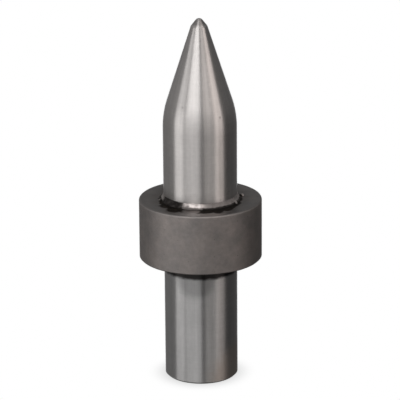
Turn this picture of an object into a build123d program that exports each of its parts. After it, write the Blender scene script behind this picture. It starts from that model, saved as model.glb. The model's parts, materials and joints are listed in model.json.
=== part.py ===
from build123d import *
import math
import os

# Thermal friction drill: a round rod of tungsten carbide, ground to a cone and a blunt tip at one end,
# with a sintered forming collar brazed round it between the working body and the shank.
# Millimetres. The origin is the centre of the shank's end face, and +Z runs up the axis to the tip.

# Shank, the plain round end that a collet grips
SHANK_DIAMETER = 20.0
SHANK_LENGTH = 34.1  # from the end face to the collar's underside
SHANK_CHAMFER = 0.5

# Forming collar, which rolls the displaced metal flat round the finished hole
COLLAR_DIAMETER = 33.5
COLLAR_HEIGHT = 16.6
COLLAR_BORE_DIAMETER = 20.2
FORMING_EDGE_RADIUS = 0.5  # outer edge of the forming face
UNDERSIDE_EDGE_BREAK = 0.3
BORE_LEAD_IN = 0.8  # chamfer at the bore's lower end
BORE_MOUTH_CHAMFER = 0.9  # wider chamfer at the forming face, which holds the filler ring

# Working body, cone and tip
BODY_DIAMETER = 20.1
BODY_TO_CONE = 24.1  # from the forming face to where body and cone would meet in a sharp corner
CONE_ANGLE = 36.0  # included
CONE_BLEND_RADIUS = 25.0
TIP_BASE_DIAMETER = 4.5
TIP_ANGLE = 76.0  # included
TIP_BASE_BLEND_RADIUS = 0.8
TIP_NOSE_RADIUS = 1.2

# Brazed joint: the rod is ground under size where the collar sits, for a foil of filler all round
SEAT_DIAMETER = 19.6
FILLET_HEIGHT = 1.4  # of the filler's fillet above the forming face
FILLET_RADIUS = 2.0  # of its hollow outer face

# Heights worked out from the sizes above
FORMING_FACE_Z = SHANK_LENGTH + COLLAR_HEIGHT
FILLET_TOP_Z = FORMING_FACE_Z + FILLET_HEIGHT
CONE_BASE_Z = FORMING_FACE_Z + BODY_TO_CONE
CONE_HEIGHT = (BODY_DIAMETER - TIP_BASE_DIAMETER) / 2 / math.tan(math.radians(CONE_ANGLE / 2))
TIP_BASE_Z = CONE_BASE_Z + CONE_HEIGHT


def turned(outline, rounds):
    """A solid of revolution about Z from a closed outline drawn as (radius, height).

    rounds gives the radius of each rounded corner, keyed by the corner's (radius, height).
    """
    section = make_face(outline)
    for point, radius in rounds.items():
        section = fillet(section.vertices().sort_by_distance(point)[0], radius)
    return revolve(Plane.XZ * section, Axis.Z)


def carbide_rod():
    """Shank, braze seat, body, cone and tip, ground in one piece."""
    half_tip = math.radians(TIP_ANGLE / 2)
    sharp_tip_z = TIP_BASE_Z + TIP_BASE_DIAMETER / 2 / math.tan(half_tip)
    nose_centre_z = sharp_tip_z - TIP_NOSE_RADIUS / math.sin(half_tip)
    nose_arc = CenterArc((0, nose_centre_z), TIP_NOSE_RADIUS, TIP_ANGLE / 2, 90 - TIP_ANGLE / 2)
    side = Polyline(
        (0, 0),
        (SHANK_DIAMETER / 2 - SHANK_CHAMFER, 0),
        (SHANK_DIAMETER / 2, SHANK_CHAMFER),
        (SHANK_DIAMETER / 2, SHANK_LENGTH),
        (SEAT_DIAMETER / 2, SHANK_LENGTH),
        (SEAT_DIAMETER / 2, FILLET_TOP_Z),
        (BODY_DIAMETER / 2, FILLET_TOP_Z),
        (BODY_DIAMETER / 2, CONE_BASE_Z),
        (TIP_BASE_DIAMETER / 2, TIP_BASE_Z),
        nose_arc @ 0,
    )
    rounds = {
        (BODY_DIAMETER / 2, CONE_BASE_Z): CONE_BLEND_RADIUS,
        (TIP_BASE_DIAMETER / 2, TIP_BASE_Z): TIP_BASE_BLEND_RADIUS,
    }
    return turned(side + nose_arc + Line(nose_arc @ 1, (0, 0)), rounds)


def forming_collar():
    """Sintered ring with a rounded forming edge and a chamfered bore."""
    bore = COLLAR_BORE_DIAMETER / 2
    outer = COLLAR_DIAMETER / 2
    outline = Polyline(
        (bore, SHANK_LENGTH + BORE_LEAD_IN),
        (bore + BORE_LEAD_IN, SHANK_LENGTH),
        (outer - UNDERSIDE_EDGE_BREAK, SHANK_LENGTH),
        (outer, SHANK_LENGTH + UNDERSIDE_EDGE_BREAK),
        (outer, FORMING_FACE_Z),
        (bore + BORE_MOUTH_CHAMFER, FORMING_FACE_Z),
        (bore, FORMING_FACE_Z - BORE_MOUTH_CHAMFER),
        close=True,
    )
    return turned(outline, {(outer, FORMING_FACE_Z): FORMING_EDGE_RADIUS})


def braze_joint():
    """Filler metal: a film in the bore, the filled mouth chamfer and the fillet up to the body."""
    bore = COLLAR_BORE_DIAMETER / 2
    seat = SEAT_DIAMETER / 2
    mouth = (bore + BORE_MOUTH_CHAMFER, FORMING_FACE_Z)
    film = Polyline(
        (seat, FILLET_TOP_Z),
        (seat, SHANK_LENGTH + BORE_LEAD_IN),
        (bore, SHANK_LENGTH + BORE_LEAD_IN),
        (bore, FORMING_FACE_Z - BORE_MOUTH_CHAMFER),
        mouth,
    )
    hollow_face = RadiusArc(mouth, (BODY_DIAMETER / 2, FILLET_TOP_Z), FILLET_RADIUS)
    return turned(film + hollow_face + Line(hollow_face @ 1, (seat, FILLET_TOP_Z)), {})


PARTS = {
    "carbide_rod": carbide_rod,
    "forming_collar": forming_collar,
    "braze_joint": braze_joint,
}

os.makedirs("parts", exist_ok=True)
for name, make in PARTS.items():
    solid = make()
    export_step(solid, f"parts/{name}.step")
    print(name, "volume", round(solid.volume, 1), "top", round(solid.bounding_box().max.Z, 3))
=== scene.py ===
import json
import math

import bpy
from mathutils import Matrix, Vector


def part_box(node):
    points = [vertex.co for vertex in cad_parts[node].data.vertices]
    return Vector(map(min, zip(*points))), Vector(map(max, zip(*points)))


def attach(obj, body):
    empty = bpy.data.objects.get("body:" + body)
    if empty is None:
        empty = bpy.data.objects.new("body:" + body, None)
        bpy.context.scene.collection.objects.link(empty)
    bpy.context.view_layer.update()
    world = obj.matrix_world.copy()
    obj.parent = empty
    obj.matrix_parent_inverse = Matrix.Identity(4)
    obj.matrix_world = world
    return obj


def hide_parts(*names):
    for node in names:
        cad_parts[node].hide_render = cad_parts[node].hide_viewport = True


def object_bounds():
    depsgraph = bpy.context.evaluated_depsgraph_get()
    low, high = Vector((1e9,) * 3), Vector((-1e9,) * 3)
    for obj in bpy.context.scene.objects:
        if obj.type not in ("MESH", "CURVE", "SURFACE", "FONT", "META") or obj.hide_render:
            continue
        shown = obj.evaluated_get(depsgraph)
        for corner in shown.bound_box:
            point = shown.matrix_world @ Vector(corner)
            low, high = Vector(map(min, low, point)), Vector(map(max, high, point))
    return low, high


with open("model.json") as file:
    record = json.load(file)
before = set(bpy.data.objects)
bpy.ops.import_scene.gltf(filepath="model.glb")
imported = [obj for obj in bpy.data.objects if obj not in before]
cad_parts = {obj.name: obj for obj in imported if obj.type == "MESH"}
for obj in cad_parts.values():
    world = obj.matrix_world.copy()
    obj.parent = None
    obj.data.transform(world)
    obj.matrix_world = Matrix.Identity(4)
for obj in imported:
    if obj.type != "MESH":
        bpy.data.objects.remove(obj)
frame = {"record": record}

# The thermal friction drill's looks: a ground carbide rod, a sintered forming collar and the braze
# between them. Metres, in the CAD part's own frame, with the drill's axis on Z.
cad_low, cad_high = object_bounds()

MM = 0.001
BODY = "root"

# Sizes read from the frame
mounts = {m["name"]: m for m in frame["record"]["mounts"]}
collar_low, collar_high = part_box("forming_collar")
filler_low, filler_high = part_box("braze_joint")
SHANK_RADIUS = mounts["shank"]["dims"]["r_mm"] * MM
BODY_RADIUS = mounts["working_body"]["dims"]["r_mm"] * MM
SHANK_CHAMFER = collar_low.z - mounts["shank"]["dims"]["length_mm"] * MM
COLLAR_RADIUS = collar_high.x
UNDERSIDE_Z = collar_low.z
FORMING_FACE_Z = collar_high.z
FILLER_FOOT_Z = filler_low.z
FILLET_TOP_Z = filler_high.z
MOUTH_RADIUS = filler_high.x

# Sizes of the ground profile, as drawn
SEAT_RADIUS = 9.8 * MM
BORE_RADIUS = 10.1 * MM
CONE_SLOPE = math.radians(18)
CONE_BASE_Z = FORMING_FACE_Z + 24.1 * MM
CONE_BLEND = 25 * MM
TIP_BASE_RADIUS = 2.25 * MM
TIP_SLOPE = math.radians(38)
TIP_BASE_BLEND = 0.8 * MM
TIP_NOSE = 1.2 * MM
FORMING_EDGE = 0.5 * MM
UNDERSIDE_BREAK = 0.3 * MM
EDGE_SOFTNESS = 0.06 * MM  # what tumbling and handling leave of a sharp ground edge
FILLET_HOLLOW = 2.0 * MM
HOLD = 0.05 * MM  # from a rounding's end to the point that keeps the flat beside it flat


def polar(azimuth, radius, height):
    """A point in metres from its azimuth (degrees from the front, + to the right) and millimetres."""
    turn = math.radians(azimuth)
    return (math.sin(turn) * radius * MM, -math.cos(turn) * radius * MM, height * MM)


# ---------------------------------------------------------------- modelling

def deselect_all():
    """Nothing is selected and the script is in object mode."""
    if bpy.context.object and bpy.context.object.mode != "OBJECT":
        bpy.ops.object.mode_set(mode="OBJECT")
    bpy.ops.object.select_all(action="DESELECT")


def arc(centre, start, end, steps):
    """Points along the shorter arc round the centre, from start to end."""
    first = start - centre
    sweep = first.angle_signed(end - centre)
    return [centre + Matrix.Rotation(-sweep * step / steps, 2) @ first for step in range(steps + 1)]


def rounded(corners, steps=6):
    """A section's points from its corners, each given as (radius, height, rounding).

    A rounded corner becomes an arc with one holding point before and after it.
    """
    points = []
    for index, (r, z, rounding) in enumerate(corners):
        here = Vector((r, z))
        if rounding == 0 or index in (0, len(corners) - 1):
            points.append(here)
            continue
        before = (Vector(corners[index - 1][:2]) - here).normalized()
        after = (Vector(corners[index + 1][:2]) - here).normalized()
        half = before.angle(after) / 2
        reach = rounding / math.tan(half)
        centre = here + (before + after).normalized() * rounding / math.sin(half)
        start = here + before * reach
        end = here + after * reach
        points.append(start + before * HOLD)
        points += arc(centre, start, end, steps)
        points.append(end + after * HOLD)
    return points


def filled_in(points, spacing):
    """The same section with no gap between neighbouring points wider than spacing."""
    dense = [points[0]]
    for a, b in zip(points, points[1:]):
        parts = max(1, math.ceil((b - a).length / spacing))
        dense += [a.lerp(b, part / parts) for part in range(1, parts + 1)]
    return dense


def turned(name, section, segments, closed=False):
    """A solid turned about Z: the section is drawn point by point from one vertex and spun round."""
    deselect_all()
    first = section[0]
    bpy.ops.mesh.primitive_plane_add(size=MM, location=(0, 0, 0))
    piece = bpy.context.object
    piece.name = name
    bpy.ops.object.mode_set(mode="EDIT")
    bpy.ops.mesh.merge(type="CENTER")
    bpy.ops.transform.translate(value=(first.x, 0, first.y))
    for a, b in zip(section, section[1:] + ([first] if closed else [])):
        bpy.ops.mesh.extrude_region_move(TRANSFORM_OT_translate={"value": (b.x - a.x, 0, b.y - a.y)})
    bpy.ops.mesh.select_all(action="SELECT")
    bpy.ops.mesh.spin(steps=segments, angle=2 * math.pi, center=(0, 0, 0), axis=(0, 0, 1))
    bpy.ops.mesh.select_all(action="SELECT")
    bpy.ops.mesh.remove_doubles(threshold=0.001 * MM)
    bpy.ops.mesh.normals_make_consistent(inside=False)
    bpy.ops.object.mode_set(mode="OBJECT")
    bpy.ops.object.shade_smooth()
    return piece


def roughen(piece, name, lump, depth, middle=0.5, group=""):
    """Lumps of about that size pushed up along the normals of the whole piece or of a vertex group."""
    texture = bpy.data.textures.new(name, "CLOUDS")
    texture.noise_scale = lump
    texture.noise_depth = 2
    bpy.context.view_layer.objects.active = piece
    bpy.ops.object.modifier_add(type="DISPLACE")
    modifier = piece.modifiers[-1]
    modifier.texture = texture
    modifier.texture_coords = "LOCAL"
    modifier.strength = depth
    modifier.mid_level = middle
    modifier.vertex_group = group
    bpy.ops.object.modifier_apply(modifier=modifier.name)


def make_rod():
    """Shank, seat, body, cone and tip in one ground piece."""
    cone_height = (BODY_RADIUS - TIP_BASE_RADIUS) / math.tan(CONE_SLOPE)
    tip_base_z = CONE_BASE_Z + cone_height
    sharp_tip_z = tip_base_z + TIP_BASE_RADIUS / math.tan(TIP_SLOPE)
    nose_centre = Vector((0, sharp_tip_z - TIP_NOSE / math.sin(TIP_SLOPE)))
    nose_start = nose_centre + Vector((math.cos(TIP_SLOPE), math.sin(TIP_SLOPE))) * TIP_NOSE
    nose_top = nose_centre + Vector((0, TIP_NOSE))
    shank_end = rounded([
        (0, 0, 0),
        (SHANK_RADIUS - SHANK_CHAMFER, 0, EDGE_SOFTNESS),
        (SHANK_RADIUS, SHANK_CHAMFER, EDGE_SOFTNESS),
        (SHANK_RADIUS, UNDERSIDE_Z, 0),
    ])
    working_end = rounded([
        (SEAT_RADIUS, UNDERSIDE_Z, 0),
        (SEAT_RADIUS, FILLET_TOP_Z, 0),
        (BODY_RADIUS, FILLET_TOP_Z, EDGE_SOFTNESS),
        (BODY_RADIUS, CONE_BASE_Z, CONE_BLEND),
        (TIP_BASE_RADIUS, tip_base_z, TIP_BASE_BLEND),
        (nose_start.x, nose_start.y, 0),
    ], steps=20)
    nose = arc(nose_centre, nose_start, nose_top, 8)[1:-1] + [nose_top]
    section = filled_in(shank_end + working_end + nose, 2 * MM)
    return turned("carbide_rod_ground", section, segments=256)


def make_collar():
    """Sintered ring with soft edges and the faint unevenness that pressing leaves."""
    lead_in = FILLER_FOOT_Z - UNDERSIDE_Z
    section = rounded([
        (BORE_RADIUS, FILLER_FOOT_Z, 0),
        (BORE_RADIUS + lead_in, UNDERSIDE_Z, EDGE_SOFTNESS),
        (COLLAR_RADIUS - UNDERSIDE_BREAK, UNDERSIDE_Z, EDGE_SOFTNESS),
        (COLLAR_RADIUS, UNDERSIDE_Z + UNDERSIDE_BREAK, EDGE_SOFTNESS),
        (COLLAR_RADIUS, FORMING_FACE_Z, FORMING_EDGE),
        (MOUTH_RADIUS, FORMING_FACE_Z, EDGE_SOFTNESS),
        (BORE_RADIUS, FORMING_FACE_Z - (MOUTH_RADIUS - BORE_RADIUS), 0),
    ])
    collar = turned("forming_collar_sintered", filled_in(section, 0.5 * MM), segments=320, closed=True)
    roughen(collar, "pressed_surface", 1.6 * MM, 0.03 * MM)
    return collar


# Filler that ran or spat past the fillet: azimuth from the front (degrees, + to the right), distance
# from the axis, width and height in millimetres
FILLER_DROPS = (
    (99, 11.5, 1.3, 0.5),
    (60, 11.0, 1.1, 0.7),
    (-78, 11.1, 1.0, 0.5),
    (-150, 11.4, 1.2, 0.5),
    (154, 12.3, 0.7, 0.3),
)


def make_filler():
    """Braze film in the bore, with the hollow, uneven fillet that shows at the root of the body."""
    mouth = Vector((MOUTH_RADIUS, FORMING_FACE_Z))
    top = Vector((BODY_RADIUS, FILLET_TOP_Z))
    chord = top - mouth
    rise = math.sqrt(FILLET_HOLLOW ** 2 - (chord.length / 2) ** 2)
    outward = Vector((-chord.y, chord.x)).normalized()
    centre = (mouth + top) / 2 - outward * rise
    section = [
        Vector((SEAT_RADIUS, FILLER_FOOT_Z)),
        Vector((BORE_RADIUS, FILLER_FOOT_Z)),
        Vector((BORE_RADIUS, FORMING_FACE_Z - (MOUTH_RADIUS - BORE_RADIUS))),
        *arc(centre, mouth, top, 16),
        Vector((SEAT_RADIUS, FILLET_TOP_Z)),
    ]
    filler = turned("braze_fillet", filled_in(section, 1 * MM), segments=320, closed=True)
    slack = 0.1 * MM
    shown = [
        v.index for v in filler.data.vertices
        if v.co.z > FORMING_FACE_Z - slack and v.co.xy.length > SEAT_RADIUS + slack
    ]
    filler.vertex_groups.new(name="fillet").add(shown, 1, "REPLACE")
    roughen(filler, "frozen_runs", 2.6 * MM, 0.45 * MM, middle=0.4, group="fillet")
    roughen(filler, "frozen_ripples", 0.9 * MM, 0.08 * MM, group="fillet")
    for azimuth, distance, width, height in FILLER_DROPS:
        add_drop(filler, polar(azimuth, distance, FORMING_FACE_Z / MM), width * MM, height * MM)
    return filler


def add_drop(filler, place, width, height):
    """A flattened drop of filler at a place on the forming face, joined to the rest of the filler."""
    deselect_all()
    bpy.ops.mesh.primitive_uv_sphere_add(segments=24, ring_count=14, radius=width / 2, location=place)
    drop = bpy.context.object
    drop.scale = (1, 1, 2 * height / width)
    bpy.ops.object.transform_apply(location=True, rotation=True, scale=True)
    bpy.ops.object.shade_smooth()
    roughen(drop, "drop_skin", 0.6 * MM, 0.12 * MM)
    filler.select_set(True)
    bpy.context.view_layer.objects.active = filler
    bpy.ops.object.join()


# ---------------------------------------------------------------- nodes

# A Mix node's colour sockets: its two inputs and its output
MIX_A = 6
MIX_B = 7
MIXED = 2


def add_node(tree, kind, inputs, **settings):
    """A node with its settings made and each input given a value or linked from another socket."""
    node = tree.nodes.new(kind)
    for name, value in settings.items():
        setattr(node, name, value)
    for name, value in inputs.items():
        if isinstance(value, bpy.types.NodeSocket):
            tree.links.new(value, node.inputs[name])
        else:
            node.inputs[name].default_value = value
    return node


def calc(tree, operation, *values, clamp=False):
    """One step of arithmetic on numbers or sockets."""
    node = add_node(tree, "ShaderNodeMath", dict(enumerate(values)), operation=operation, use_clamp=clamp)
    return node.outputs["Value"]


def vector_calc(tree, operation, *values):
    """One step of arithmetic on positions."""
    node = add_node(tree, "ShaderNodeVectorMath", dict(enumerate(values)), operation=operation)
    return node.outputs["Vector"]


def length(tree, vector):
    """How long a vector is."""
    return add_node(tree, "ShaderNodeVectorMath", {0: vector}, operation="LENGTH").outputs["Value"]


def height_of(tree, place):
    """The height of a position up the drill's axis."""
    return add_node(tree, "ShaderNodeSeparateXYZ", {"Vector": place}).outputs["Z"]


def across_axis(tree, place):
    """The part of a position that lies square to the drill's axis."""
    return vector_calc(tree, "MULTIPLY", place, (1, 1, 0))


def ramp(tree, value, start, end, low=0.0, high=1.0):
    """Smooth change from low to high as the value goes from start to end."""
    inputs = {"Value": value, "From Min": start, "From Max": end, "To Min": low, "To Max": high}
    return add_node(tree, "ShaderNodeMapRange", inputs, interpolation_type="SMOOTHSTEP").outputs["Result"]


def mix_colours(tree, factor, a, b, blend="MIX"):
    """From colour a at factor 0 to colour b at factor 1, or another blend of the two."""
    inputs = {"Factor": factor, MIX_A: a, MIX_B: b}
    return add_node(tree, "ShaderNodeMix", inputs, data_type="RGBA", blend_type=blend).outputs[MIXED]


def toned(tree, colour, tone):
    """The colour made darker or lighter by a tone round 1."""
    grey = add_node(tree, "ShaderNodeCombineColor", {"Red": tone, "Green": tone, "Blue": tone})
    return mix_colours(tree, 1.0, colour, grey.outputs["Color"], "MULTIPLY")


def laid_over(tree, colour, mask, strength, layer):
    """A layer's colour laid over another where its mask is, up to the given strength."""
    return mix_colours(tree, calc(tree, "MULTIPLY", mask, strength), colour, layer)


def noise(tree, vector, scale, detail=2.0, roughness=0.5):
    """Cloudy noise from 0 to 1, mostly within a quarter of its middle. Scale is lumps per unit."""
    inputs = {"Vector": vector, "Scale": scale, "Detail": detail, "Roughness": roughness}
    return add_node(tree, "ShaderNodeTexNoise", inputs).outputs["Fac"]


def wander(tree, vector, scale, detail=2.0):
    """Noise that strays to both sides of 0, mostly by less than a quarter."""
    return calc(tree, "SUBTRACT", noise(tree, vector, scale, detail), 0.5)


def new_group(name, inputs, outputs):
    """A shader node group with named sockets, its inputs given as name: (type, value)."""
    group = bpy.data.node_groups.new(name, "ShaderNodeTree")
    for socket, (kind, value) in inputs.items():
        made = group.interface.new_socket(name=socket, in_out="INPUT", socket_type=kind)
        if value is not None:
            made.default_value = value
    for socket in outputs:
        group.interface.new_socket(name=socket, in_out="OUTPUT", socket_type="NodeSocketFloat")
    entry = group.nodes.new("NodeGroupInput").outputs
    return group, entry, group.nodes.new("NodeGroupOutput").inputs


FLOAT = "NodeSocketFloat"
VECTOR = "NodeSocketVector"


def tool_lines_group():
    """Lines that a wheel or a jaw leaves.

    Few Around and many Along make rings. Many Around and few Along make rubs along the axis.
    """
    group, given, result = new_group("tool_lines", {
        "Vector": (VECTOR, None),
        "Around": (FLOAT, 1.0),
        "Along per mm": (FLOAT, 5.0),
    }, ["Lines"])
    across = across_axis(group, given["Vector"])
    outward = vector_calc(group, "NORMALIZE", across)
    inputs = {0: outward, "Scale": given["Around"]}
    spread = add_node(group, "ShaderNodeVectorMath", inputs, operation="SCALE").outputs["Vector"]
    along = calc(group, "SUBTRACT", height_of(group, given["Vector"]), length(group, across))
    along = calc(group, "MULTIPLY", calc(group, "MULTIPLY", along, 1 / MM), given["Along per mm"])
    lift = add_node(group, "ShaderNodeCombineXYZ", {"Z": along}).outputs["Vector"]
    vector = vector_calc(group, "ADD", spread, lift)
    group.links.new(noise(group, vector, 1.0, 3.0, 0.65), result["Lines"])
    return group


def mottle_group():
    """Tone that wanders round 1 in blotches of a given size."""
    group, given, result = new_group("mottle", {
        "Vector": (VECTOR, None),
        "Size mm": (FLOAT, 1.0),
        "Contrast": (FLOAT, 0.1),
    }, ["Tone"])
    scale = calc(group, "DIVIDE", 1 / MM, given["Size mm"])
    centred = calc(group, "MULTIPLY_ADD", noise(group, given["Vector"], scale, 3.0, 0.6), 2.0, -1.0)
    tone = calc(group, "MULTIPLY_ADD", centred, given["Contrast"], 1.0)
    group.links.new(tone, result["Tone"])
    return group


def specks_group():
    """Small separate spots: pits, dust or spatter. Share is how many of the cells hold one."""
    group, given, result = new_group("specks", {
        "Vector": (VECTOR, None),
        "Cell mm": (FLOAT, 2.0),
        "Share": (FLOAT, 0.2),
        "Spot mm": (FLOAT, 0.3),
    }, ["Mask"])
    scale = calc(group, "DIVIDE", 1 / MM, given["Cell mm"])
    cells = add_node(group, "ShaderNodeTexVoronoi", {"Vector": given["Vector"], "Scale": scale}).outputs
    chance = add_node(group, "ShaderNodeSeparateColor", {"Color": cells["Color"]}).outputs
    size = calc(group, "MULTIPLY", chance["Green"], calc(group, "DIVIDE", given["Spot mm"], given["Cell mm"]))
    near = calc(group, "SUBTRACT", 1.0, calc(group, "DIVIDE", cells["Distance"], size), clamp=True)
    chosen = calc(group, "LESS_THAN", chance["Red"], given["Share"])
    mask = calc(group, "MULTIPLY", ramp(group, near, 0.0, 0.6), chosen)
    group.links.new(mask, result["Mask"])
    return group


def patch_group():
    """One ragged spot: 1 over its middle, 0 past its radius."""
    group, given, result = new_group("patch", {
        "Vector": (VECTOR, None),
        "Centre": (VECTOR, None),
        "Radius mm": (FLOAT, 3.0),
        "Ragged mm": (FLOAT, 0.5),
    }, ["Mask"])
    away = length(group, vector_calc(group, "SUBTRACT", given["Vector"], given["Centre"]))
    ragged = calc(group, "MULTIPLY", given["Ragged mm"], 4 * MM)
    away = calc(group, "MULTIPLY_ADD", wander(group, given["Vector"], 450.0), ragged, away)
    share = calc(group, "DIVIDE", away, calc(group, "MULTIPLY", given["Radius mm"], MM))
    group.links.new(ramp(group, share, 1.05, 0.6), result["Mask"])
    return group


def ring_group():
    """A ring of wear or dirt round the axis: 1 on the ring, 0 at its width away, broken up by noise."""
    group, given, result = new_group("ring", {
        "Vector": (VECTOR, None),
        "Radius mm": (FLOAT, 10.0),
        "Height mm": (FLOAT, 0.0),
        "Width mm": (FLOAT, 1.0),
        "Broken": (FLOAT, 0.5),
    }, ["Mask"])
    radius = calc(group, "DIVIDE", length(group, across_axis(group, given["Vector"])), MM)
    height = calc(group, "DIVIDE", height_of(group, given["Vector"]), MM)
    out = calc(group, "SUBTRACT", radius, given["Radius mm"])
    up = calc(group, "SUBTRACT", height, given["Height mm"])
    away = length(group, add_node(group, "ShaderNodeCombineXYZ", {"X": out, "Y": up}).outputs["Vector"])
    share = calc(group, "DIVIDE", away, given["Width mm"])
    share = calc(group, "MULTIPLY_ADD", wander(group, given["Vector"], 900.0, 3.0), given["Broken"], share)
    group.links.new(ramp(group, share, 1.0, 0.35), result["Mask"])
    return group


GROUPS = {
    "tool_lines": tool_lines_group(),
    "mottle": mottle_group(),
    "specks": specks_group(),
    "patch": patch_group(),
    "ring": ring_group(),
}


def effect(tree, name, **values):
    """One of the shared effects. An underscore in an input's name stands for a space."""
    inputs = {socket.replace("_", " "): value for socket, value in values.items()}
    return add_node(tree, "ShaderNodeGroup", inputs, node_tree=GROUPS[name]).outputs[0]


# ---------------------------------------------------------------- materials

# Colours of the rod
SHANK_METAL = (0.485, 0.475, 0.47, 1)
BODY_METAL = (0.60, 0.572, 0.556, 1)
MARK_BROWN = (0.2, 0.18, 0.17, 1)
# a brown stain with a painted warm reflection, low on the shank's right
STAIN_AND_REFLECTION_BROWN = (0.39, 0.31, 0.25, 1)
# painted shadow of the collar on the shank
COLLAR_SHADOW_GREY = (0.1, 0.1, 0.1, 1)
# burnt flux and painted shadow just under the collar
BURNT_AND_SHADOW_BLACK = (0.02, 0.018, 0.017, 1)
TIP_GREY = (0.16, 0.15, 0.145, 1)
EDGE_BRIGHT = (0.7, 0.69, 0.68, 1)

# Colours of the collar
SINTER_COOL = (0.275, 0.255, 0.247, 1)
SINTER_WARM = (0.308, 0.274, 0.257, 1)
PIT_DARK = (0.07, 0.066, 0.062, 1)
CHIP_PALE = (0.52, 0.50, 0.48, 1)
# painted shade on the collar's right flank
RIGHT_FLANK_SHADE_GREY = (0.12, 0.116, 0.114, 1)
WORN_PALE = (0.40, 0.375, 0.36, 1)
# painted shade over the forming face
FACE_SHADE_DARK = (0.07, 0.072, 0.076, 1)
SCORCH_BROWN = (0.075, 0.058, 0.048, 1)
CRUST_BLACK = (0.009, 0.008, 0.007, 1)
CRUST_BROWN = (0.030, 0.023, 0.018, 1)

# Colours of the filler
FILLER_SILVER = (0.56, 0.51, 0.49, 1)
SOOT_BLACK = (0.012, 0.010, 0.009, 1)

# Where the finishes change, in millimetres like the effects' own inputs
SHANK_MM = SHANK_RADIUS / MM
COLLAR_MM = COLLAR_RADIUS / MM
FACE_MM = FORMING_FACE_Z / MM
FILLET_MM = 10.6  # from the axis to the middle of the fillet
# height of the middle of the painted collar shadow on the shank
COLLAR_SHADOW_MM = UNDERSIDE_Z / MM - 3.6
TIP_RING_MM = cad_high.z / MM - 0.94

# The same in metres: the collet's grip fades out up the shank, and a black band of burnt flux and painted
# shadow just under the collar
GRIP_FULL = 22 * MM
GRIP_END = 30 * MM
BURNT_SHADOW_LOW = UNDERSIDE_Z - 3.75 * MM
BURNT_SHADOW_HIGH = UNDERSIDE_Z - 2.75 * MM


def new_material(name):
    """A material, its node tree and its Principled BSDF."""
    material = bpy.data.materials.new(name)
    material.use_nodes = True
    return material, material.node_tree, material.node_tree.nodes["Principled BSDF"]


def own_place(tree):
    """The piece's own coordinates."""
    return add_node(tree, "ShaderNodeTexCoord", {}).outputs["Object"]


def bump(tree, shader, height, strength, distance):
    """A height in 0..1 that stands up to distance proud."""
    inputs = {"Height": height, "Strength": strength, "Distance": distance}
    tree.links.new(add_node(tree, "ShaderNodeBump", inputs).outputs["Normal"], shader.inputs["Normal"])


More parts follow.
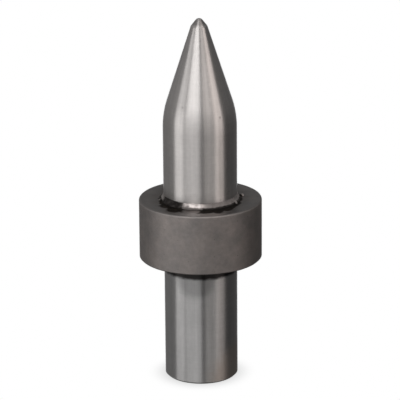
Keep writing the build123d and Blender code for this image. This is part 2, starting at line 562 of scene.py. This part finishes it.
def ground_carbide():
    """Cylindrically ground carbide: fine rings, a duller shank rubbed by the collet, a few marks, a brown
    stain with painted warm reflection low on the shank, and burnt flux with painted shadow under the collar.
    """
    material, tree, shader = new_material("ground_carbide")
    place = own_place(tree)
    height = height_of(tree, place)
    working = ramp(tree, height, UNDERSIDE_Z, FORMING_FACE_Z)
    colour = mix_colours(tree, working, SHANK_METAL, BODY_METAL)

    blotches = effect(tree, "mottle", Vector=place, Size_mm=7.0, Contrast=0.10)
    cloud = effect(tree, "mottle", Vector=place, Size_mm=1.1, Contrast=0.08)
    rings = effect(tree, "tool_lines", Vector=place, Around=0.9, Along_per_mm=4.0)
    fine_rings = effect(tree, "tool_lines", Vector=place, Around=2.0, Along_per_mm=11.0)
    wipes = effect(tree, "tool_lines", Vector=place, Around=9.0, Along_per_mm=0.03)
    rubs = effect(tree, "tool_lines", Vector=place, Around=60.0, Along_per_mm=0.06)
    gripped = calc(tree, "MULTIPLY", ramp(tree, rubs, 0.60, 0.72), ramp(tree, height, GRIP_END, GRIP_FULL))
    tone = calc(tree, "MULTIPLY", blotches, cloud)
    tone = calc(tree, "MULTIPLY", tone, ramp(tree, rings, 0.25, 0.75, 0.965, 1.03))
    tone = calc(tree, "MULTIPLY", tone, ramp(tree, wipes, 0.3, 0.7, 0.93, 1.05))
    tone = calc(tree, "SUBTRACT", tone, calc(tree, "MULTIPLY", gripped, 0.10))
    colour = toned(tree, colour, tone)

    marks = effect(tree, "specks", Vector=place, Cell_mm=2.6, Share=0.22, Spot_mm=0.5)
    colour = laid_over(tree, colour, marks, 0.25, MARK_BROWN)
    # Part brown stain, part painted warm reflection, low on the right of the shank
    tint = effect(tree, "patch", Vector=place, Centre=polar(75, SHANK_MM, 0), Radius_mm=13.0, Ragged_mm=0.8)
    tint = calc(tree, "POWER", tint, 1.6)
    colour = laid_over(tree, colour, tint, 0.46, STAIN_AND_REFLECTION_BROWN)
    # Painted shadow: the collar's soft shadow, fading out down the front of the shank
    collar_shadow_centre = polar(-9, SHANK_MM, COLLAR_SHADOW_MM)
    collar_shadow = effect(tree, "patch", Vector=place, Centre=collar_shadow_centre, Radius_mm=6.5, Ragged_mm=0.3)
    colour = laid_over(tree, colour, collar_shadow, 0.4, COLLAR_SHADOW_GREY)
    # Burnt flux and painted shadow: a black band on the shank just under the collar
    ragged_height = calc(tree, "MULTIPLY_ADD", noise(tree, place, 500.0, 3.0), 0.9 * MM, height)
    burnt_and_shadow = calc(tree, "SUBTRACT", ramp(tree, ragged_height, BURNT_SHADOW_LOW, BURNT_SHADOW_HIGH), working, clamp=True)
    colour = laid_over(tree, colour, burnt_and_shadow, 0.97, BURNT_AND_SHADOW_BLACK)
    tip_burn = effect(tree, "ring", Vector=place, Radius_mm=1.3, Height_mm=TIP_RING_MM,
                      Width_mm=1.25, Broken=0.25)
    colour = laid_over(tree, colour, tip_burn, 0.5, TIP_GREY)
    edge = effect(tree, "ring", Vector=place, Radius_mm=SHANK_MM - 0.2, Height_mm=0.3,
                  Width_mm=0.5, Broken=0.8)
    colour = laid_over(tree, colour, edge, 0.4, EDGE_BRIGHT)
    tree.links.new(colour, shader.inputs["Base Color"])

    dull = ramp(tree, rings, 0.2, 0.8, 0.31, 0.35)
    dull = calc(tree, "MULTIPLY_ADD", tint, 0.15, dull)
    dull = calc(tree, "MULTIPLY_ADD", marks, 0.15, dull)
    tree.links.new(dull, shader.inputs["Roughness"])
    relief = calc(tree, "MULTIPLY_ADD", rings, 0.6, calc(tree, "MULTIPLY", fine_rings, 0.4))
    relief = calc(tree, "MULTIPLY_ADD", marks, -0.8, relief)
    bump(tree, shader, relief, 0.5, 0.003 * MM)
    shader.inputs["Metallic"].default_value = 1
    shader.inputs["Anisotropic"].default_value = 0.81
    shader.inputs["Anisotropic Rotation"].default_value = 0.25
    tangent = add_node(tree, "ShaderNodeTangent", {}, direction_type="RADIAL", axis="Z")
    tree.links.new(tangent.outputs["Tangent"], shader.inputs["Tangent"])
    return material


def sintered_carbide():
    """Matt, mottled carbide as it left the furnace, rubbed bright on its forming edge, with painted shade on
    its right flank and over its forming face.
    """
    material, tree, shader = new_material("sintered_carbide")
    place = own_place(tree)
    on_face = ramp(tree, height_of(tree, place), FORMING_FACE_Z - 0.3 * MM, FORMING_FACE_Z - 0.1 * MM)

    broad = effect(tree, "mottle", Vector=place, Size_mm=5.0, Contrast=0.22)
    medium = effect(tree, "mottle", Vector=place, Size_mm=1.2, Contrast=0.18)
    grain = effect(tree, "mottle", Vector=place, Size_mm=0.22, Contrast=0.22)
    colour = mix_colours(tree, ramp(tree, broad, 0.85, 1.15), SINTER_COOL, SINTER_WARM)
    colour = toned(tree, colour, calc(tree, "MULTIPLY", calc(tree, "MULTIPLY", broad, medium), grain))

    pits = effect(tree, "specks", Vector=place, Cell_mm=0.9, Share=0.35, Spot_mm=0.22)
    colour = laid_over(tree, colour, pits, 0.55, PIT_DARK)
    chips = effect(tree, "specks", Vector=place, Cell_mm=4.2, Share=0.30, Spot_mm=0.8)
    colour = laid_over(tree, colour, chips, 0.35, CHIP_PALE)
    # Painted shade: the collar's right-front flank darkened
    right_flank_shade_centre = polar(52, COLLAR_MM, 42)
    right_flank_shade = effect(tree, "patch", Vector=place, Centre=right_flank_shade_centre, Radius_mm=13.0, Ragged_mm=1.5)
    colour = laid_over(tree, colour, right_flank_shade, 0.22, RIGHT_FLANK_SHADE_GREY)
    worn = effect(tree, "ring", Vector=place, Radius_mm=COLLAR_MM - 0.15, Height_mm=FACE_MM - 0.15,
                  Width_mm=0.6, Broken=0.9)
    colour = laid_over(tree, colour, worn, 0.3, WORN_PALE)
    # Painted shade: the whole forming face darker than the sides
    colour = laid_over(tree, colour, on_face, 0.32, FACE_SHADE_DARK)
    scorch = calc(tree, "MULTIPLY", flux_scorch(tree, place), on_face)
    colour = laid_over(tree, colour, scorch, 0.45, SCORCH_BROWN)
    halo = calc(tree, "MULTIPLY", flux_halo(tree, place), on_face)
    crust = mix_colours(tree, ramp(tree, medium, 0.95, 1.15), CRUST_BLACK, CRUST_BROWN)
    colour = mix_colours(tree, halo, colour, crust)
    tree.links.new(colour, shader.inputs["Base Color"])

    dull = ramp(tree, grain, 0.85, 1.15, 0.48, 0.58)
    dull = calc(tree, "MULTIPLY_ADD", on_face, -0.14, dull)
    dull = calc(tree, "MULTIPLY_ADD", worn, 0.04, dull)
    tree.links.new(dull, shader.inputs["Roughness"])
    tree.links.new(ramp(tree, halo, 0.0, 1.0, 1.0, 0.0), shader.inputs["Metallic"])
    shader.inputs["Specular IOR Level"].default_value = 0.01
    rings = effect(tree, "tool_lines", Vector=place, Around=1.2, Along_per_mm=3.0)
    relief = calc(tree, "MULTIPLY_ADD", grain, 0.5, calc(tree, "MULTIPLY", medium, 0.5))
    relief = calc(tree, "MULTIPLY_ADD", calc(tree, "MULTIPLY", rings, on_face), 0.3, relief)
    relief = calc(tree, "MULTIPLY_ADD", pits, -0.6, relief)
    bump(tree, shader, relief, 0.35, 0.03 * MM)
    return material


# The flux crust ran further to the front than to the sides
HALO_CENTRE_MM = (0, -1.8, 0)
HALO_FRONT_MM = 12.8
HALO_SIDE_MM = 11.7
HALO_FADE_MM = 0.7

# Runs past the crust's edge: azimuth from the front (degrees, + to the right), distance from the axis
# and radius in millimetres
FLUX_RUNS = (
    (-34, 12.6, 3.0),
    (-52, 11.6, 2.4),
    (20, 12.9, 2.4),
    (33, 12.3, 2.3),
    (-160, 12.1, 2.2),
)

# Brown scorch outside the crust, full at the first distance from the axis and gone at the second
SCORCH_FULL = 13.0 * MM
SCORCH_END = 16.5 * MM


def flux_scorch(tree, place):
    """Brown scorch that fades out round the flux crust."""
    away = length(tree, across_axis(tree, place))
    away = calc(tree, "MULTIPLY_ADD", noise(tree, place, 350.0, 3.0), 3 * MM, away)
    return ramp(tree, away, SCORCH_END, SCORCH_FULL)


def flux_halo(tree, place):
    """Black flux crust on the forming face round the braze, with one patch where it came off."""
    stretch = (HALO_FRONT_MM / HALO_SIDE_MM, 1, 0)
    shifted = vector_calc(tree, "SUBTRACT", place, tuple(MM * c for c in HALO_CENTRE_MM))
    away = length(tree, vector_calc(tree, "MULTIPLY", shifted, stretch))
    away = calc(tree, "MULTIPLY_ADD", wander(tree, place, 450.0), 1.6 * MM, away)
    halo = ramp(tree, away, HALO_FRONT_MM * MM, (HALO_FRONT_MM - HALO_FADE_MM) * MM)
    for azimuth, distance, radius in FLUX_RUNS:
        centre = polar(azimuth, distance, FACE_MM)
        run = effect(tree, "patch", Vector=place, Centre=centre, Radius_mm=radius, Ragged_mm=0.5)
        halo = calc(tree, "MAXIMUM", halo, run)
    clean_centre = polar(-12, 12.6, FACE_MM)
    clean = effect(tree, "patch", Vector=place, Centre=clean_centre, Radius_mm=2.7, Ragged_mm=0.4)
    return calc(tree, "SUBTRACT", halo, clean, clamp=True)


def fillet_patch(tree, place, azimuth, rise_mm, radius_mm, ragged_mm):
    """A ragged spot on the fillet, at an azimuth from the front and a rise above the forming face."""
    centre = polar(azimuth, FILLET_MM, FACE_MM + rise_mm)
    return effect(tree, "patch", Vector=place, Centre=centre, Radius_mm=radius_mm, Ragged_mm=ragged_mm)


def braze_filler():
    """Silver-grey filler with ripples, and dark flux glass along its foot and on both sides of its front."""
    material, tree, shader = new_material("braze_filler")
    place = own_place(tree)
    tone = effect(tree, "mottle", Vector=place, Size_mm=1.4, Contrast=0.2)
    colour = toned(tree, FILLER_SILVER, tone)

    skirt = effect(tree, "ring", Vector=place, Radius_mm=MOUTH_RADIUS / MM, Height_mm=FACE_MM,
                   Width_mm=0.95, Broken=0.5)
    left_run = fillet_patch(tree, place, -52, 0.5, 5.6, 0.5)
    right_run = fillet_patch(tree, place, 36, -0.3, 6.5, 0.5)
    clean = fillet_patch(tree, place, -12, 0.3, 3.0, 0.2)
    spots = effect(tree, "specks", Vector=place, Cell_mm=1.3, Share=0.4, Spot_mm=0.6)
    runs = calc(tree, "MAXIMUM", left_run, calc(tree, "MULTIPLY", right_run, 0.6))
    dirt = calc(tree, "SUBTRACT", calc(tree, "MAXIMUM", skirt, runs), clean, clamp=True)
    dirt = calc(tree, "MAXIMUM", dirt, calc(tree, "MULTIPLY", skirt, 0.75))
    dirt = calc(tree, "MAXIMUM", dirt, calc(tree, "MULTIPLY", spots, 0.4))
    soot = calc(tree, "MULTIPLY", dirt, ramp(tree, tone, 0.9, 1.2, 1.0, 0.9))
    colour = mix_colours(tree, soot, colour, SOOT_BLACK)
    tree.links.new(colour, shader.inputs["Base Color"])

    tree.links.new(ramp(tree, dirt, 0.1, 0.9, 1.0, 0.0), shader.inputs["Metallic"])
    tree.links.new(ramp(tree, dirt, 0.0, 1.0, 0.34, 0.5), shader.inputs["Roughness"])
    shader.inputs["Specular IOR Level"].default_value = 0.06
    ripples = effect(tree, "mottle", Vector=place, Size_mm=0.8, Contrast=0.5)
    bump(tree, shader, ripples, 0.35, 0.03 * MM)
    return material


# ---------------------------------------------------------------- studio

# The camera, in front of the drill and a little above it, with a long lens
AIM_Z = 0.05
CAMERA_AIM = Vector((-0.0001, 0, AIM_Z))
CAMERA_ELEVATION = math.radians(17.87)
CAMERA_DISTANCE = 0.7262
CAMERA_ROLL = math.radians(-0.437)
LENS_MM = 239.9
SENSOR_MM = 36


def add_camera():
    """Long lens, a little above the drill and in front of it."""
    away = Vector((0, -math.cos(CAMERA_ELEVATION), math.sin(CAMERA_ELEVATION)))
    data = bpy.data.cameras.new("camera")
    data.lens = LENS_MM
    data.sensor_width = SENSOR_MM
    camera = bpy.data.objects.new("camera", data)
    bpy.context.scene.collection.objects.link(camera)
    camera.matrix_world = (
        Matrix.Translation(CAMERA_AIM + away * CAMERA_DISTANCE)
        @ away.to_track_quat("Z", "Y").to_matrix().to_4x4()
        @ Matrix.Rotation(CAMERA_ROLL, 4, "Z")
    )
    bpy.context.scene.camera = camera


# The lights' names, with the azimuth from the front (degrees, + to the right), width, low and high edge
# (degrees as seen from the drill), radiance and tint of each
SOFTBOXES = {
    "left": (-68, 32, -25, 21, 1.0, (1, 1, 1)),
    "front_left": (-23.5, 49, 13, 70, 1.5, (1, 1, 1)),
    "front_left_low": (-25, 50, -45, 6, 0.5, (1, 1, 1)),
    "front_right": (27.5, 31, 8, 72, 0.67, (1.04, 0.99, 0.965)),
    "front_right_low": (34.5, 43, -38, 7, 0.29, (1.02, 1, 0.98)),
    "right": (61.5, 30, -18, 68, 0.85, (1.08, 0.995, 0.955)),
    "behind": (180, 34, -45, -3, 0.8, (1, 1, 1)),
}
SOFTBOX_DISTANCE = 0.6  # from the drill's axis

# The dim room round the drill: its light on the left and on the right, and how much more comes from above
FILL_LEFT = 0.27
FILL_RIGHT = 0.10
FILL_RISE = 0.16


def add_softbox(name, azimuth, width, low, high, radiance, tint):
    """An upright rectangular light that faces the drill."""
    around = math.radians(azimuth)
    low_z = AIM_Z + SOFTBOX_DISTANCE * math.tan(math.radians(low))
    high_z = AIM_Z + SOFTBOX_DISTANCE * math.tan(math.radians(high))
    data = bpy.data.lights.new(name, "AREA")
    data.shape = "RECTANGLE"
    data.size = 2 * SOFTBOX_DISTANCE * math.tan(math.radians(width / 2))
    data.size_y = high_z - low_z
    data.energy = radiance * math.pi * data.size * data.size_y
    data.color = tint
    light = bpy.data.objects.new(name, data)
    bpy.context.scene.collection.objects.link(light)
    place = Vector((math.sin(around), -math.cos(around), 0)) * SOFTBOX_DISTANCE
    light.location = place + Vector((0, 0, (low_z + high_z) / 2))
    light.rotation_mode = "QUATERNION"
    light.rotation_quaternion = place.to_track_quat("Z", "Y")
    light.visible_camera = False


# The floor's contact shade
SHADE_REACH = 6 * MM
SHADE_WHITE = (1, 1, 1, 1)
SHADE_GREY = (0.76, 0.76, 0.76, 1)


def add_floor():
    """White floor with a faint contact shade. It neither lights the drill nor shows in it."""
    deselect_all()
    bpy.ops.mesh.primitive_plane_add(size=8)
    floor = bpy.context.object
    floor.name = "floor"
    material, tree, shader = new_material("pale_floor")
    shader.inputs["Base Color"].default_value = (0, 0, 0, 1)
    shader.inputs["Specular IOR Level"].default_value = 0
    open_sky = add_node(tree, "ShaderNodeAmbientOcclusion", {"Distance": SHADE_REACH}).outputs["AO"]
    shade = mix_colours(tree, ramp(tree, open_sky, 0.45, 1.0), SHADE_GREY, SHADE_WHITE)
    tree.links.new(shade, shader.inputs["Emission Color"])
    shader.inputs["Emission Strength"].default_value = 1
    floor.data.materials.append(material)
    floor.visible_glossy = False
    floor.visible_diffuse = False
    floor.visible_shadow = False


def add_world():
    """White behind the drill, and a dim room all round it, brighter to the left and above."""
    world = bpy.data.worlds.new("studio")
    world.use_nodes = True
    tree = world.node_tree
    direction = add_node(tree, "ShaderNodeTexCoord", {}).outputs["Generated"]
    apart = add_node(tree, "ShaderNodeSeparateXYZ", {"Vector": direction}).outputs
    inputs = {"Value": apart["X"], "From Min": -1, "From Max": 1, "To Min": FILL_LEFT, "To Max": FILL_RIGHT}
    side = add_node(tree, "ShaderNodeMapRange", inputs).outputs["Result"]
    room = calc(tree, "MAXIMUM", calc(tree, "MULTIPLY_ADD", apart["Z"], FILL_RISE, side), 0.0)
    seen = add_node(tree, "ShaderNodeLightPath", {}).outputs["Is Camera Ray"]
    shade = calc(tree, "MAXIMUM", room, seen)
    tree.links.new(shade, tree.nodes["Background"].inputs["Color"])
    bpy.context.scene.world = world


add_camera()
add_world()
add_floor()
for name, values in SOFTBOXES.items():
    add_softbox(name, *values)
bpy.context.scene.view_settings.view_transform = "Standard"

for piece, node, finish, material in (
    (make_rod(), "carbide_rod", "ground_carbide", ground_carbide()),
    (make_collar(), "forming_collar", "sintered_carbide", sintered_carbide()),
    (make_filler(), "braze_joint", "braze_filler", braze_filler()),
):
    piece.data.materials.append(material)
    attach(piece, BODY)
    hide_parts(node)
